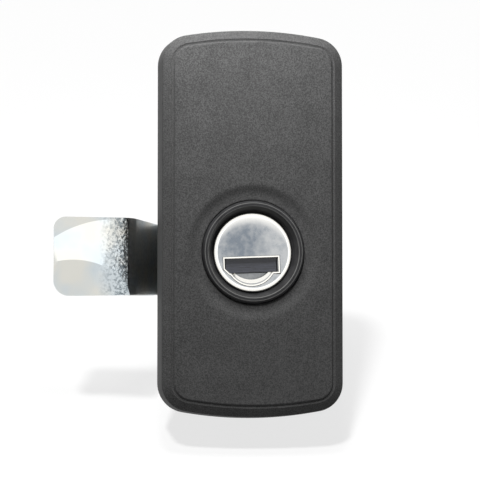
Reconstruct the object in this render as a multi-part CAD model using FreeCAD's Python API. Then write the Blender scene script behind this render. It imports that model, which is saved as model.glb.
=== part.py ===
import FreeCAD, Part
import math
import os

# Compression lock for a service door, in millimetres.
# The origin is on the key cylinder's axis, in the plane where the gasket meets the door.
# +X is right and +Z is up as the lock is seen from outside, and -Y is towards the viewer.

os.makedirs("parts", exist_ok=True)
Vector = FreeCAD.Vector
AXIS = Vector(0, 1, 0)
ACROSS = Vector(1, 0, 0)
CENTRE = Vector(0, 0, 0)

# How far a cutting shape runs past the solid, and a joined shape into it
overshoot = 1.0
overlap = 0.01

# Handle plate: the moulded housing's outside
plate_width = 47.5
plate_top = 57.5
plate_bottom = 42.5
end_radius = 100.0
corner_radius = 7.6
side_height = 7.4
side_draft = 0.3
bevel_width = 2.2
bevel_rise = 1.3
panel_inset = 3.1
panel_rise = 0.35
panel_edge = 0.35
wall = 2.2
front_wall = 2.6
rib_thickness = 1.4
rib_drop = 1.6

# Gasket between the plate's rim and the door
gasket_thickness = 1.2
gasket_inset = 0.35
gasket_width = 3.6

# Shallow dish round the key cylinder
dish_radius = 17.4
dish_depth = 1.5
dish_land = 0.4
seat_gap = 0.25
oring_section = 1.0
oring_sides = 6
oring_shoulder = 0.6

# Fixing bosses for screws driven from inside the door
boss_spacing_x = 29.0
boss_spacing_z = 76.0
boss_centre_z = 7.5
boss_radius = 4.0
boss_hole_radius = 1.6
boss_hole_depth = 6.5
boss_short = 0.3

# Turret: the round body that goes through the door
turret_radius = 18.0
turret_length = 28.0
turret_front_bore = 12.3
turret_rear_bore = 14.03

# Cylinder sleeve, the black ring round the plug
sleeve_radius = 11.3
flange_radius = 13.1
flange_rear = 6.9
lip_front = 10.5
lip_round = 0.5
lip_bevel = 0.15
lip_width = 0.45
cone_inner_radius = 10.7
cone_rear = 8.3
throat_bevel = 0.3
sleeve_slot_wall = 0.5
sleeve_slot_room = 0.6
clip_thickness = 0.9
clip_grip = 0.5
clip_spring_in = 0.2
plug_clip_overlap = 1.0
clip_gap_angle = 50.0

# Plug and its steel cap
plug_radius = 8.5
plug_tail = 2.3
plug_turned = -2.4
head_radius = 9.5
shoulder = 2.3
cap_radius = 10.2
cap_front = 8.75
cap_sheet = 0.8
cap_skirt = 4.4
cap_round = 0.75
cap_round_steps = 4
cap_gap = 0.15
running_gap = 0.05
end_gap = 0.1

# Keyhole in the cap, measured in the plug's own frame
slot_left = -7.4
slot_right = 6.45
slot_top = -1.45
slot_bottom = -5.2
slot_chamfer = 1.3
scoop_half_width = 5.35
scoop_depth = 3.75
scoop_inner_half_width = 4.4
scoop_inner_depth = 1.8
scoop_reach = 2.0
scoop_centre_x = -0.5
rim_width = 0.45
rim_height = 0.2
rim_root = 0.2

# Keyway and wafers
keyway_width = 9.2
keyway_top = -1.9
keyway_bottom = -4.8
keyway_end_wall = 0.4
wafer_pitch = 2.1
wafer_first = -0.9
wafer_thickness = 1.2
wafer_width = 10.6
wafer_gap = 0.04
wafer_inset = 0.02
wafer_window_wall = 0.55

# Shutter behind the keyhole
shutter_thickness = 0.8
shutter_play = 0.25
shutter_drop = 0.1
shutter_side_gap = 0.35
hinge_z = -0.75
hinge_barrel = 0.8
hinge_pin_radius = 0.4
hinge_pin_half = 9.3
pocket_margin = 0.1
pocket_rear = 3.0
pocket_swing_rear = 2.25
pocket_swing_drop = 2.0
pocket_headroom = 0.15
spring_pocket_length = 1.8
spring_pocket_half = 1.1
shutter_spring_turns = 3
shutter_spring_wire = 0.3
shutter_spring_gap = 0.1
shutter_spring_space = 0.12

# Compression drive: fork, spindle, cross pin and helical sleeve
draw = 4.0
turn = 90.0
fork_width = 9.0
fork_thickness = 2.4
fork_grip = 4.4
fork_reach = 8.0
fork_gap = 3.5
fork_pin_set = 1.2
fork_pin_radius = 0.7
tail_gap = 0.9
head_length = 6.0
spindle_head_radius = 9.4
spindle_radius = 6.0
cross_pin_radius = 1.5
cross_pin_half = 13.7
helix_inner_radius = 9.6
helix_lead_in = 0.8
slot_play = 0.1
slot_end_room = 2.1
slot_overcut = 0.6
press_gap = 0.03
fork_end_room = 0.6

# Draw spring, bush and rear cap
bush_flange = 1.0
bush_flange_radius = 10.6
bush_radius = 8.0
rear_cap_thickness = 3.0
rear_cap_inset = 0.2
rear_cap_bevel = 0.8
bush_fit = 0.02
screw_circle = 16.0
screw_count = 4
screw_first_angle = 45.0
screw_gap = 0.1
screw_hole_spare = 1.0
recess_reach = 1.1
recess_width = 0.5
recess_depth = 0.6
screw_radius = 1.0
screw_length = 8.0
screw_head_radius = 1.8
screw_head_height = 1.3
spring_wire = 0.9
spring_turns = 3
spring_room = 6.8
spring_offset = 1.6

# Pawl: the cranked steel tongue
pawl_thickness = 3.0
pawl_reach = 49.3
pawl_tip_width = 21.0
pawl_neck_width = 19.0
pawl_waist = 0.3
tongue_front = 15.0
hub_lift = 1.0
crank_foot = 19.6
crank_head = 28.4
bend_radius = 2.0
hub_radius = 11.2
tip_corner_top = 3.2
tip_corner_bottom = 4.3
square_side = 8.5
square_fit = 0.05
facet_radius = 20.7
facet_x = -44.2
facet_z = -21.7
facet_slope = 18.0
top_facet_radius = 30.0
top_facet_x = -32.8
top_facet_z = -20.2
top_facet_width = 8.0
bolt_radius = 3.0
bolt_length = 10.0
bolt_head_across = 10.0
bolt_head_height = 4.0
bolt_head_sides = 6
bolt_hole_spare = 1.0
washer_radius = 6.4
washer_thickness = 1.2
washer_gap = 0.3


# Sizes that follow from the ones above
rim_y = -gasket_thickness
side_front = rim_y - side_height
face_y = side_front - bevel_rise
panel_y = face_y - panel_rise
cavity_front = panel_y + front_wall
boss_rear = -boss_short
rib_heights = [boss_centre_z - boss_spacing_z / 2, 0.0, boss_centre_z + boss_spacing_z / 4,
               boss_centre_z + boss_spacing_z / 2]
oring_outer = flange_radius - oring_shoulder
oring_seat = -flange_rear + oring_section
oring_centre = oring_outer - oring_section / 2
head_y = -cap_front + cap_sheet
head_rear = -shoulder - end_gap
cap_inner = head_radius + running_gap
shoulder_y = -shoulder
cap_bore = cap_radius + cap_gap
plug_bore = plug_radius + running_gap
web_rear = -flange_rear + front_wall
sleeve_clip_y = web_rear
bush_front = turret_length - bush_flange
head_rest_rear = bush_front - spring_room
head_front = head_rest_rear - head_length
pin_y = head_front + head_length / 2
helix_front = head_front - helix_lead_in
plug_length = head_front - tail_gap
sleeve_length = plug_length - plug_tail
plug_clip_y = sleeve_length + end_gap
fork_start = plug_length - fork_grip
fork_pin_y = fork_start + fork_pin_set
fork_end = head_front + fork_reach
fork_slot_end = fork_end + fork_end_room
keyway_rear = fork_start - keyway_end_wall
wafer_count = 1 + int((keyway_rear - wafer_first) / wafer_pitch)
wafer_end = wafer_first + (wafer_count - 1) * wafer_pitch + wafer_thickness / 2
cap_rear = turret_length + rear_cap_thickness
hub_y = cap_rear + hub_lift
bolt_seat = hub_y + pawl_thickness
hinge_y = head_y + shutter_play + shutter_thickness / 2 + hinge_barrel / 2
hinge_top = hinge_z + hinge_barrel + pocket_headroom
swing_bottom = hinge_z - pocket_swing_drop
spring_pocket_start = slot_right - 2 * pocket_margin


def rod(radius, y0, y1, x=0.0, z=0.0):
    return Part.makeCylinder(radius, y1 - y0, Vector(x, y0, z), AXIS)


def tube(outer, inner, y0, y1):
    return rod(outer, y0, y1).cut(rod(inner, y0, y1))


def block(x0, x1, y0, y1, z0, z1):
    return Part.makeBox(x1 - x0, y1 - y0, z1 - z0, Vector(x0, y0, z0))


def turned(points):
    """Solid of revolution about the cylinder axis from (radius, y) points."""
    corners = [Vector(radius, y, 0) for radius, y in points]
    face = Part.Face(Part.makePolygon(corners + corners[:1]))
    return face.revolve(CENTRE, AXIS, 360)


def save(name, shape):
    solid = shape.removeSplitter()
    solid.exportStep("parts/" + name + ".step")
    return solid


def polygon_corners(radius, sides):
    turns = [2 * math.pi * n / sides for n in range(sides)]
    return [(radius * math.cos(angle), radius * math.sin(angle)) for angle in turns]


def about_axis(shape, degrees):
    copy = shape.copy()
    copy.rotate(CENTRE, AXIS, degrees)
    return copy


# Housing outline: two straight sides, two bowed ends and four round corners
def plate_wire(inset, y):
    half = plate_width / 2 - inset
    bow = end_radius - inset
    drop = bow - math.sqrt(bow ** 2 - half ** 2)
    top = plate_top - inset
    bottom = inset - plate_bottom
    top_left = Vector(-half, y, top - drop)
    top_right = Vector(half, y, top - drop)
    low_right = Vector(half, y, bottom + drop)
    low_left = Vector(-half, y, bottom + drop)
    sides = [
        Part.Arc(top_left, Vector(0, y, top), top_right).toShape(),
        Part.makeLine(top_right, low_right),
        Part.Arc(low_right, Vector(0, y, bottom), low_left).toShape(),
        Part.makeLine(low_left, top_left),
    ]
    slab = Part.Face(Part.Wire(sides)).extrude(AXIS)
    uprights = [e for e in slab.Edges if abs(e.tangentAt(e.FirstParameter).y) > 0.99]
    rounded = slab.makeFillet(corner_radius - inset, uprights)
    ends = [f for f in rounded.Faces if abs(f.CenterOfMass.y - y) < 1e-6]
    return ends[0].OuterWire


def plate_block(inset_rear, y_rear, inset_front, y_front):
    wires = [plate_wire(inset_rear, y_rear), plate_wire(inset_front, y_front)]
    return Part.makeLoft(wires, True, True)


def boss_places():
    for side in (-1, 1):
        for end in (-1, 1):
            yield side * boss_spacing_x / 2, boss_centre_z + end * boss_spacing_z / 2


def make_housing():
    bevel_inset = side_draft + bevel_width
    shell = plate_block(0, rim_y, side_draft, side_front)
    shell = shell.fuse(plate_block(side_draft, side_front, bevel_inset, face_y))
    shell = shell.fuse(plate_block(panel_inset, face_y, panel_inset + panel_edge, panel_y))
    cavity = plate_block(wall, rim_y + overshoot, wall, cavity_front)
    shell = shell.cut(cavity)
    ribs = ribs_in_plate().common(cavity)
    root = cavity_front - overshoot
    bosses = [rod(boss_radius, root, boss_rear, x, z) for x, z in boss_places()]
    turret = rod(turret_radius, root, turret_length)
    shell = shell.fuse([ribs, turret] + bosses)
    dish = turned([(0, panel_y - overshoot), (dish_radius, panel_y - overshoot), (dish_radius, panel_y),
                   (flange_radius + dish_land, panel_y + dish_depth), (0, panel_y + dish_depth)])
    shell = shell.cut(dish)
    seat = turned([(0, panel_y), (flange_radius + seat_gap, panel_y), (flange_radius + seat_gap, -flange_rear),
                   (oring_outer, -flange_rear), (oring_outer, oring_seat),
                   (sleeve_radius + running_gap, oring_seat), (sleeve_radius + running_gap, web_rear),
                   (turret_front_bore, web_rear), (turret_front_bore, helix_front),
                   (turret_rear_bore, helix_front), (turret_rear_bore, turret_length), (0, turret_length)])
    shell = shell.cut(seat)
    for x, z in boss_places():
        shell = shell.cut(rod(boss_hole_radius, boss_rear - boss_hole_depth, boss_rear, x, z))
    for x, z in screw_places():
        shell = shell.cut(rod(screw_radius, turret_length - screw_length, turret_length, x, z))
    return shell


# Stiffening ribs inside the plate, between its walls, the turret and the bosses
def ribs_in_plate():
    half = rib_thickness / 2
    low = cavity_front - overshoot
    high = rim_y - rib_drop
    reach = plate_width
    upright = block(-half, half, low, high, -plate_bottom, plate_top)
    ribs = [block(-reach, reach, low, high, z - half, z + half) for z in rib_heights]
    return upright.fuse(ribs)


def screw_places():
    for n in range(screw_count):
        angle = math.radians(screw_first_angle + 360 * n / screw_count)
        yield screw_circle * math.cos(angle), screw_circle * math.sin(angle)


save("housing", make_housing())

# Face gasket: a flat rubber frame under the plate's rim
gasket = plate_block(gasket_inset, 0, gasket_inset, rim_y)
window = plate_block(gasket_inset + gasket_width, overshoot, gasket_inset + gasket_width, rim_y - overshoot)
save("face_gasket", gasket.cut(window))


# Cylinder sleeve: die-cast, coated black, with a coned mouth round the plug
def make_sleeve():
    lip_inner = flange_radius - lip_round - lip_width
    sleeve = turned([(flange_radius, -flange_rear), (flange_radius, lip_round - lip_front),
                     (flange_radius - lip_bevel, lip_bevel - lip_front),
                     (flange_radius - lip_round, -lip_front), (lip_inner, -lip_front),
                     (cone_inner_radius, -cone_rear), (cap_bore, throat_bevel - cone_rear),
                     (cap_bore, shoulder_y), (plug_bore, shoulder_y), (plug_bore, sleeve_length),
                     (sleeve_radius, sleeve_length), (sleeve_radius, -flange_rear)])
    groove = tube(sleeve_radius + overshoot, sleeve_radius - clip_grip,
                  sleeve_clip_y, sleeve_clip_y + clip_thickness)
    half = wafer_width / 2 + wafer_gap
    reach = math.sqrt(sleeve_radius ** 2 - half ** 2) - sleeve_slot_wall
    slots = block(-half, half, shoulder_y, wafer_end + sleeve_slot_room, -reach, reach)
    return sleeve.cut([groove, about_axis(slots, plug_turned)])


save("cylinder_sleeve", make_sleeve())
oring_y = -flange_rear + oring_section / 2
oring_corners = polygon_corners(oring_section / 2, oring_sides)
save("sleeve_oring", turned([(oring_centre + u, oring_y + v) for u, v in oring_corners]))


# Snap rings: an open steel ring in a groove, gap downwards
def snap_ring(inner, outer, y):
    ring = tube(outer, inner, y, y + clip_thickness)
    half = math.radians(clip_gap_angle / 2)
    far = outer * 2
    corners = [Vector(0, y, 0), Vector(-far * math.sin(half), y, -far * math.cos(half)),
               Vector(far * math.sin(half), y, -far * math.cos(half)), Vector(0, y, 0)]
    wedge = Part.Face(Part.makePolygon(corners)).extrude(AXIS * clip_thickness)
    return ring.cut(wedge)


save("sleeve_snap_ring",
     snap_ring(sleeve_radius - clip_grip, turret_front_bore - clip_spring_in, sleeve_clip_y))
plug_ring = snap_ring(plug_radius - clip_grip, sleeve_radius - plug_clip_overlap, plug_clip_y)
save("plug_snap_ring", about_axis(plug_ring, plug_turned))


# Keyhole outline: a slot with one chamfered corner, grown by an even margin
def slot_prism(margin, y0, y1):
    left = slot_left - margin
    right = slot_right + margin
    top = slot_top + margin
    bottom = slot_bottom - margin
    corners = [Vector(left, y0, top), Vector(right, y0, top), Vector(right, y0, bottom),
               Vector(left + slot_chamfer, y0, bottom), Vector(left, y0, bottom + slot_chamfer)]
    return Part.Face(Part.makePolygon(corners + corners[:1])).extrude(AXIS * (y1 - y0))


# Half-moon scoop below the slot, wide at the cap's face and narrow inside
def moon_wire(half, depth, y):
    left = Vector(scoop_centre_x - half, y, slot_bottom + overlap)
    right = Vector(scoop_centre_x + half, y, slot_bottom + overlap)
    low = Vector(scoop_centre_x, y, slot_bottom - depth)
    return Part.Wire([Part.Arc(left, low, right).toShape(), Part.makeLine(right, left)])


def make_scoop():
    wide = moon_wire(scoop_half_width, scoop_depth, -cap_front)
    narrow = moon_wire(scoop_inner_half_width, scoop_inner_depth, scoop_reach - cap_front)
    return Part.makeLoft([wide, narrow], True, True)


keyhole = slot_prism(0, -cap_front - overshoot, head_y + overlap).fuse(make_scoop())


# Cap: a drawn stainless cup with a raised rim round the keyhole
def make_cap():
    skirt_end = -cap_front + cap_skirt
    angles = [math.radians(90 * n / cap_round_steps) for n in range(cap_round_steps + 1)]
    edge = [(cap_radius - cap_round * (1 - math.cos(a)), -cap_front + cap_round * (1 - math.sin(a)))
            for a in angles]
    cup = turned([(0, skirt_end), (cap_radius, skirt_end)] + edge + [(0, -cap_front)])
    cup = cup.cut(rod(cap_inner, head_y, skirt_end))
    rim_front = -cap_front - rim_height
    rim = slot_prism(rim_width, rim_front, rim_root - cap_front)
    lobe = moon_wire(scoop_half_width + rim_width / 2, scoop_depth + rim_width / 2, rim_front)
    rim = rim.fuse(Part.Face(lobe).extrude(AXIS * (rim_height + rim_root)))
    scoop_rim = moon_wire(scoop_half_width, scoop_depth, rim_front)
    opening = Part.Face(scoop_rim).extrude(AXIS * rim_height)
    return cup.fuse(rim).cut([keyhole, opening])


save("plug_cap", about_axis(make_cap(), plug_turned))


# Plug core: die-cast, with keyway, wafer slots and the pocket for the shutter
def make_core():
    core = rod(head_radius, head_y, head_rear).fuse(rod(plug_radius, head_rear, plug_length))
    left = slot_left + pocket_margin
    right = slot_right - pocket_margin
    pocket = block(left, right, head_y, -pocket_rear, slot_bottom - pocket_margin, hinge_top)
    swing = block(left, right, head_y, -pocket_swing_rear, swing_bottom, hinge_top)
    spring_pocket = block(spring_pocket_start, spring_pocket_start + spring_pocket_length, head_y,
                          hinge_y + spring_pocket_half, hinge_z - spring_pocket_half, hinge_top)
    half = keyway_width / 2
    keyway = block(-half, half, -pocket_rear - overshoot, keyway_rear, keyway_bottom, keyway_top)
    half = wafer_width / 2 + wafer_gap
    thick = wafer_thickness / 2 + wafer_gap
    slots = [block(-half, half, y - thick, y + thick, -plug_radius, plug_radius) for y in wafer_places()]
    groove = tube(plug_radius + overshoot, plug_radius - clip_grip, plug_clip_y, plug_clip_y + clip_thickness)
    core = core.cut([pocket, swing, spring_pocket, hinge_pin, keyway, groove, keyhole] + slots)
    core = about_axis(core, plug_turned)
    return core.cut([fork_blank(fork_start, plug_length + overshoot), fork_pin])


def wafer_places():
    for n in range(wafer_count):
        yield wafer_first + n * wafer_pitch


# Drive fork: a steel blade in the plug's tail, its two prongs straddle the cross pin
def fork_blank(y0, y1):
    return block(-fork_thickness / 2, fork_thickness / 2, y0, y1, -fork_width / 2, fork_width / 2)


def pin_across(radius, half, y, z):
    return Part.makeCylinder(radius, 2 * half, Vector(-half, y, z), ACROSS)


hinge_pin = pin_across(hinge_pin_radius, hinge_pin_half, hinge_y, hinge_z)
fork_pin_half = math.sqrt(plug_radius ** 2 - fork_pin_radius ** 2) - end_gap
fork_pin = pin_across(fork_pin_radius, fork_pin_half, fork_pin_y, 0)
save("plug_core", make_core())
fork = fork_blank(fork_start, fork_end)
gap = block(-fork_thickness, fork_thickness, pin_y - fork_gap / 2, fork_end + overshoot,
            -fork_gap / 2, fork_gap / 2)
save("drive_fork", fork.cut([gap, fork_pin]))
save("fork_pin", fork_pin)


# Wafers: brass plates with a window for the key, flush with the plug as with the key in
def make_wafer(y):
    half = wafer_width / 2
    front = y - wafer_thickness
    rear = y + wafer_thickness
    disc = rod(plug_radius - wafer_inset, y - wafer_thickness / 2, y + wafer_thickness / 2)
    plate = disc.common(block(-half, half, front, rear, -plug_radius, plug_radius))
    side = half - wafer_window_wall
    window_bottom = keyway_bottom + wafer_window_wall / 2
    return plate.cut(block(-side, side, front, rear, window_bottom, keyway_top - wafer_window_wall))


wafers = Part.makeCompound([make_wafer(y) for y in wafer_places()])
save("wafers", about_axis(wafers, plug_turned))


# Springs of square wire, swept along a helix about the given axis
def coil(radius, wire, pitch, turns, start, axis):
    height = pitch * turns
    path = Part.makeHelix(pitch, height, radius)
    half = wire / 2
    corners = [(-half, -half), (half, -half), (half, half), (-half, half), (-half, -half)]
    section = Part.makePolygon([Vector(radius + u, 0, v) for u, v in corners])
    spring = Part.Wire(path).makePipeShell([section], True, True)
    spring.Placement = FreeCAD.Placement(start, FreeCAD.Rotation(Vector(0, 0, 1), axis))
    return spring


# Shutter: an acetal flap that hangs behind the slot, with its pin and spring
def make_shutter():
    left = slot_left + shutter_side_gap
    right = slot_right - shutter_side_gap
    front = hinge_y - hinge_barrel
    flap = block(left, right, front, front + shutter_thickness, slot_bottom + shutter_drop, hinge_z)
    barrel = Part.makeCylinder(hinge_barrel, right - left, Vector(left, hinge_y, hinge_z), ACROSS)
    return flap.fuse(barrel).cut(pin_across(hinge_pin_radius + running_gap, hinge_pin_half, hinge_y, hinge_z))


save("shutter", about_axis(make_shutter(), plug_turned))
save("shutter_pin", about_axis(hinge_pin, plug_turned))
shutter_spring = coil(hinge_pin_radius + shutter_spring_wire / 2 + shutter_spring_gap, shutter_spring_wire,
                      shutter_spring_wire + shutter_spring_space, shutter_spring_turns,
                      Vector(slot_right - pocket_margin, hinge_y, hinge_z), ACROSS)
save("shutter_spring", about_axis(shutter_spring, plug_turned))


# Helical sleeve: two slots that draw the cross pin along as it turns through a quarter
def helical_slot(start_angle):
    inner = helix_inner_radius - slot_overcut
    outer = turret_rear_bore + slot_overcut
    middle = (inner + outer) / 2
    lead = draw * 360 / turn
    spare = math.degrees(slot_end_room / middle)
    width = 2 * (cross_pin_radius + slot_play)
    path = Part.makeHelix(lead, lead * (turn + 2 * spare) / 360, middle)
    climb = math.atan(lead / (2 * math.pi * middle))
    across = Vector(0, -math.sin(climb), math.cos(climb)) * (width / 2)
    low = Vector(inner, 0, 0)
    high = Vector(outer, 0, 0)
    section = Part.makePolygon([low - across, high - across, high + across, low + across, low - across])
    groove = Part.Wire(path).makePipeShell([section], True, True)
    groove.rotate(CENTRE, ACROSS, -90)
    groove.translate(Vector(0, pin_y - lead * spare / 360, 0))
    return about_axis(groove, start_angle - spare)


cam = tube(turret_rear_bore - press_gap, helix_inner_radius, helix_front, bush_front)
for start_angle in (0, 180):
    cam = cam.cut(helical_slot(start_angle))
save("helical_sleeve", cam)


# Spindle: turned steel, slotted for the fork, drilled for the pin, squared for the pawl
def make_spindle():
    spindle = rod(spindle_head_radius, head_front, head_rest_rear).fuse(
        rod(spindle_radius, head_rest_rear, hub_y))
    half = square_side / 2
    spindle = spindle.fuse(block(-half, half, hub_y, bolt_seat - end_gap, -half, half))
    side = fork_thickness / 2 + running_gap
    tall = fork_width / 2 + end_gap
    slot = block(-side, side, head_front, fork_slot_end, -tall, tall)
    thread = rod(bolt_radius, bolt_seat - bolt_length, bolt_seat)
    return spindle.cut([slot, cross_pin, thread])


cross_pin = pin_across(cross_pin_radius, cross_pin_half, pin_y, 0)
save("spindle", make_spindle())
save("cross_pin", cross_pin)

# Draw spring between the spindle's head and the bush
spring_pitch = (bush_front - head_rest_rear - spring_wire - end_gap) / spring_turns
spring_base = Vector(0, head_rest_rear + spring_wire / 2 + end_gap / 2, 0)
save("draw_spring",
     coil(spindle_radius + spring_offset, spring_wire, spring_pitch, spring_turns, spring_base, AXIS))

# Bush: an acetal bearing with a flange, held by the rear cap
bush = tube(bush_flange_radius, spindle_radius + running_gap, bush_front, turret_length)
save("spindle_bush", bush.fuse(tube(bush_radius, spindle_radius + running_gap, turret_length, cap_rear)))

# Rear cap and its screws
head_seat = cap_rear - screw_head_height


def make_rear_cap():
    edge = turret_radius - rear_cap_inset
    cap = turned([(bush_radius + bush_fit, turret_length), (edge, turret_length),
                  (edge, cap_rear - rear_cap_bevel),
                  (edge - rear_cap_bevel, cap_rear), (bush_radius + bush_fit, cap_rear)])
    for x, z in screw_places():
        cap = cap.cut([rod(screw_radius + screw_gap, turret_length, cap_rear, x, z),
                       rod(screw_head_radius + screw_gap, head_seat, cap_rear, x, z)])
    return cap


def make_screw(x, z):
    screw = rod(screw_radius, turret_length - screw_length + screw_hole_spare, head_seat, x, z)
    screw = screw.fuse(rod(screw_head_radius, head_seat, cap_rear, x, z))
    bottom = cap_rear - recess_depth
    half = recess_width / 2
    recess = [block(x - recess_reach, x + recess_reach, bottom, cap_rear, z - half, z + half),
              block(x - half, x + half, bottom, cap_rear, z - recess_reach, z + recess_reach)]
    return screw.cut(recess)


save("rear_cap", make_rear_cap())
save("rear_cap_screws", Part.makeCompound([make_screw(x, z) for x, z in screw_places()]))


# Pawl: bent from strip, hub behind the rear cap, tongue cranked forward behind the frame
def bent_strip():
    front = [(hub_radius, hub_y), (-crank_foot, hub_y), (-crank_head, tongue_front),
             (-pawl_reach, tongue_front)]
    run = crank_head - crank_foot
    rise = hub_y - tongue_front
    shift = pawl_thickness * math.tan(math.atan2(rise, run) / 2)
    rear = [(hub_radius, hub_y + pawl_thickness), (-crank_foot - shift, hub_y + pawl_thickness),
            (-crank_head - shift, tongue_front + pawl_thickness), (-pawl_reach, tongue_front + pawl_thickness)]
    corners = [Vector(x, y, -pawl_tip_width) for x, y in front + rear[::-1]]
    strip = Part.Face(Part.makePolygon(corners + corners[:1])).extrude(Vector(0, 0, 2 * pawl_tip_width))
    inner = bend_edges(strip, [front[1], rear[2]])
    strip = strip.makeFillet(bend_radius, inner)
    outer = bend_edges(strip, [front[2], rear[1]])
    return strip.makeFillet(bend_radius + pawl_thickness, outer)


def bend_edges(strip, places):
    found = []
    for e in strip.Edges:
        middle = e.CenterOfMass
        if any(abs(middle.x - x) + abs(middle.y - y) < 1e-3 for x, y in places):
            found.append(e)
    return found


def pawl_plan():
    tip = pawl_tip_width / 2
    neck = pawl_neck_width / 2
    waist = tip - pawl_waist
    corners = [Vector(0, plan_front, -neck), Vector(-crank_foot, plan_front, -neck),
               Vector(-crank_head, plan_front, -waist), Vector(-pawl_reach, plan_front, -tip),
               Vector(-pawl_reach, plan_front, tip), Vector(-crank_head, plan_front, waist),
               Vector(-crank_foot, plan_front, neck), Vector(0, plan_front, neck)]
    plan = Part.Face(Part.makePolygon(corners + corners[:1])).extrude(AXIS * (plan_rear - plan_front))
    plan = plan.makeFillet(tip_corner_top, plan_corner(plan, tip))
    plan = plan.makeFillet(tip_corner_bottom, plan_corner(plan, -tip))
    return plan.fuse(rod(hub_radius, plan_front, plan_rear))


def plan_corner(plan, z):
    place = Vector(-pawl_reach, (plan_front + plan_rear) / 2, z)
    return [e for e in plan.Edges if (e.CenterOfMass - place).Length < 1e-3]


plan_front = tongue_front - overshoot
plan_rear = bolt_seat + overshoot


# The tongue's lower edge is pressed back as part of a cone, and its top corner as part of another
def facet_cone(shift):
    depth = facet_radius * math.tan(math.radians(facet_slope))
    y = tongue_front + shift
    return Part.makeCone(facet_radius, 0, depth, Vector(facet_x, y, facet_z), AXIS)


def top_facet_ring(shift):
    y = tongue_front + shift
    outer = top_facet_radius + top_facet_width
    depth = top_facet_width * math.tan(math.radians(facet_slope))
    ring = turned([(top_facet_radius, 0), (outer, 0), (outer, depth)])
    ring.translate(Vector(top_facet_x, y, top_facet_z))
    return ring.common(block(-pawl_reach - overshoot, top_facet_x, y - overshoot, y + depth + overshoot,
                             0, pawl_tip_width))


def make_pawl():
    backing = [facet_cone(pawl_thickness), top_facet_ring(pawl_thickness)]
    pawl = bent_strip().fuse(backing).common(pawl_plan())
    pawl = pawl.cut([facet_cone(0), top_facet_ring(0)])
    half = square_side / 2 + square_fit
    return pawl.cut(block(-half, half, plan_front, plan_rear, -half, half))


save("pawl", make_pawl())

# Pawl bolt with its spring washer
bolt_head_seat = bolt_seat + washer_thickness
save("pawl_washer", tube(washer_radius, bolt_radius + washer_gap, bolt_seat, bolt_head_seat))
head_corner_radius = bolt_head_across / 2 / math.cos(math.pi / bolt_head_sides)
hexagon = polygon_corners(head_corner_radius, bolt_head_sides)
corners = [Vector(x, bolt_head_seat, z) for x, z in hexagon + hexagon[:1]]
head = Part.Face(Part.makePolygon(corners)).extrude(AXIS * bolt_head_height)
shank = rod(bolt_radius, bolt_seat - bolt_length + bolt_hole_spare, bolt_head_seat)
save("pawl_bolt", head.fuse(shank))
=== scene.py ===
import bmesh
import bpy
import math
from mathutils import Matrix, Vector


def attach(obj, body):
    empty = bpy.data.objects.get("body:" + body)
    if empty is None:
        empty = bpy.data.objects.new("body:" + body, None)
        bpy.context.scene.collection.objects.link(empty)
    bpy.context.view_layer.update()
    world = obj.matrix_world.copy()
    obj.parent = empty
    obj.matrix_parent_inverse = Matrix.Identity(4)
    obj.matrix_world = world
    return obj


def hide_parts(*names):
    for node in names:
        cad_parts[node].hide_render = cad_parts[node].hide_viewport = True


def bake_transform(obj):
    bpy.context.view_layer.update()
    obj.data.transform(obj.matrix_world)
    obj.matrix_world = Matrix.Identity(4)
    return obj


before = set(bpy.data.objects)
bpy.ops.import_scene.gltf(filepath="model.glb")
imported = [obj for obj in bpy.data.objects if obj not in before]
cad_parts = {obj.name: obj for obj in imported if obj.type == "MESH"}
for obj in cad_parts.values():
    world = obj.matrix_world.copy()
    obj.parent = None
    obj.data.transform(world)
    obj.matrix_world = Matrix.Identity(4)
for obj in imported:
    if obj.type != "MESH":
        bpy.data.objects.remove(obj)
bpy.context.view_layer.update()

# Housing: plate, dish, ribs, screw bosses and turret are one moulding in black nylon.
# The tool was spark eroded, so every face is matt with a fine grit, and the walls have draft.
# It is closed by the gasket in front of the door and by the rear cap behind it.
MM = 0.001
PLATE_TOP = 57.5
PLATE_BOTTOM = -42.5
PLATE_HALF = 23.75
END_RADIUS = 100.0
CORNER_RADIUS = 7.6
RIM_Y = -1.2
SIDE_HEIGHT = 7.4
SIDE_DRAFT = 0.3
BEVEL_WIDTH = 2.2
BEVEL_RISE = 1.3
EDGE_ROUND = 0.42
CREASE = 0.14
CREASE_WIDTH = 0.22
PANEL_GAP = 0.38
PANEL_EDGE = 0.35
PANEL_Y = -10.25
PANEL_ROUND = 0.12
WALL = 2.2
FLOOR_Y = -7.65
LOOP_STEPS = 12
SIDE_CUTS = 11
ROUND_STEPS = 144
DISH_RIM = 19.3
TURRET_RADIUS = 18.0
TURRET_END = 28.0
TURRET_FOOT = 19.4
BOSS_RADIUS = 4.0
BOSS_HOLE = 1.6
BOSS_END = -0.3
BOSS_HOLE_END = -6.8
BOSS_X = 14.5
BOSS_HEIGHTS = (45.5, -30.5)
RIB_HALF = 0.7
RIB_END = -2.8
RIB_ROUND = 0.25
CROSS_RIB = 26.5
SUNK = 0.3
PANEL_LAND = 0.3
HOLLOW_DRAFT = 0.1
RIB_OVERLAP = 1.0
SAME_LEVEL = 0.0001
SAME_RING = 0.01
LEAST_BEND = 0.3
WELD = 0.002
SLIVER = 0.001
BOSS_STEPS = 40
BOSS_EDGE = 0.25
BOSS_MOUTH = 0.2
DISH_SLOPE = ((17.8, PANEL_Y), (17.4, -10.22), (17.0, -10.13), (16.5, -9.95), (15.9, -9.69),
              (15.2, -9.47), (14.6, -9.38), (14.1, -9.36), (13.7, -9.36), (13.45, -9.34),
              (13.35, -9.25))
SLEEVE_SEAT = ((13.35, -6.9), (12.5, -6.9), (12.5, -5.9), (11.35, -5.9), (11.35, -4.3),
               (12.3, -4.3), (12.3, 13.4), (14.03, 13.4))
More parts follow.
